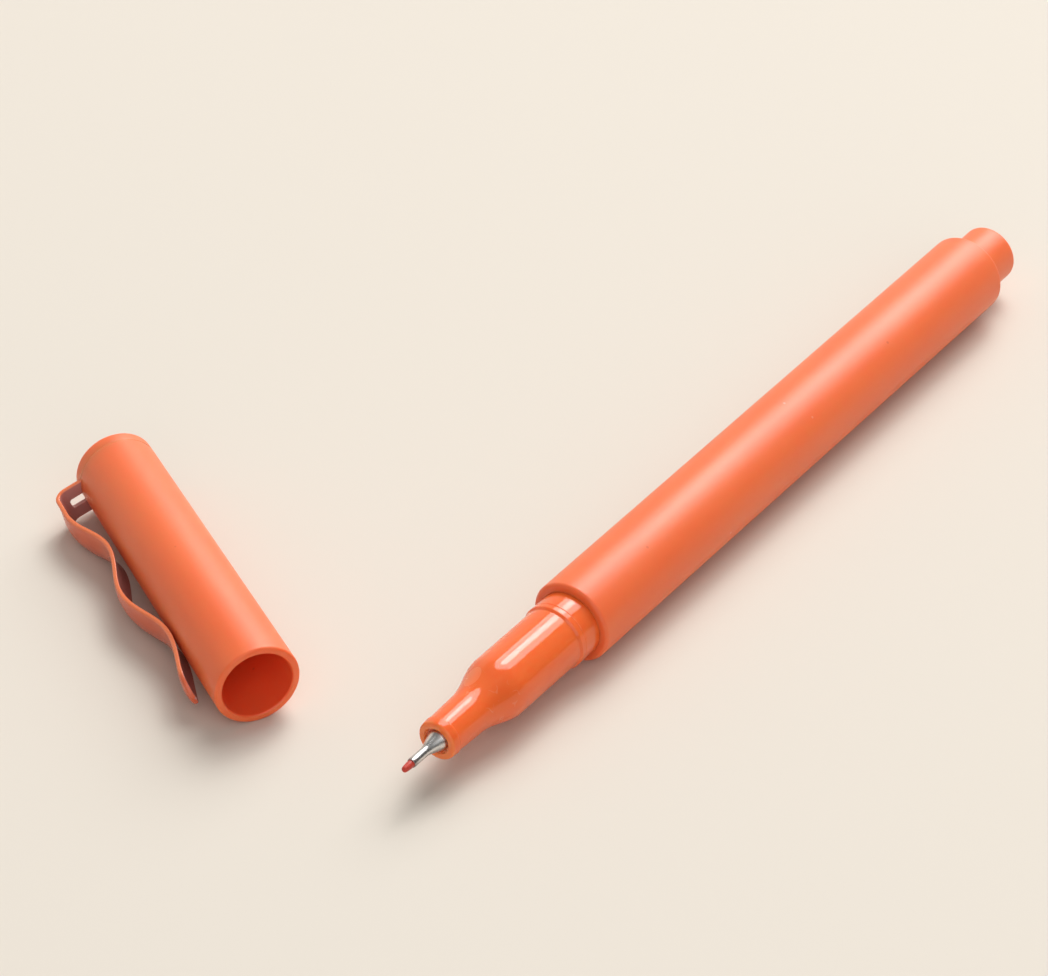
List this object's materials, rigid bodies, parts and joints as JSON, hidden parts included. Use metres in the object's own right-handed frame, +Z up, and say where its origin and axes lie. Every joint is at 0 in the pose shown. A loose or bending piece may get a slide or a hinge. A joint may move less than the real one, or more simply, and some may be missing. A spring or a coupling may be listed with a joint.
{
  "type": "felt tip marker",
  "caption": "Slim felt tip marker with its cap off: round barrel, stepped grip, needle nib in a steel sleeve, and a cap with a wavy metal clip held under its top button.",
  "frame": {"origin": "middle of the footprint of the marker and its cap, on the surface that both lie on", "axes": "+Y along the cap's axis from its mouth to its top, +Z up, +X across the cap towards the marker; the marker's nose-to-tail direction lies 29.22 degrees from +X towards +Y"},
  "size_m": [0.116, 0.0598, 0.0094],
  "materials": {
    "shell_plastic": "satin orange, moulded",
    "grip_plastic": "polished orange",
    "liner_plastic": "plain orange",
    "clip_paint": "semi-gloss orange lacquer",
    "sleeve_steel": "turned, bright",
    "nib_fibre": "ink-stained felt",
    "reservoir_fibre": "ink-soaked bonded fibre",
    "reservoir_film": "thin milky film"
  },
  "bodies": {
    "pen": {"barrel": "shell_plastic", "tail_plug": "shell_plastic", "grip_section": "grip_plastic", "nib_sleeve": "sleeve_steel", "nib": "nib_fibre", "ink_reservoir": "reservoir_fibre", "reservoir_film": "reservoir_film"},
    "cap": {"cap_tube": "shell_plastic", "inner_cap": "liner_plastic", "cap_button": "shell_plastic", "clip_mount": "clip_paint"},
    "clip": {"clip_blade": "clip_paint"}
  },
  "joints": [
    {"name": "cap_pull", "type": "slide", "parent": "pen", "child": "cap", "axis": [0, 1, 0], "range_m": [0, 0.03]},
    {"name": "clip_flex", "type": "hinge", "parent": "cap", "child": "clip", "pos_m": [-0.05703, 0.02682, 0.00219], "axis": [0.3507, 0, -0.9365], "range_deg": [0, 5], "stiffness_Nm_per_rad": 0.08}
  ]
}
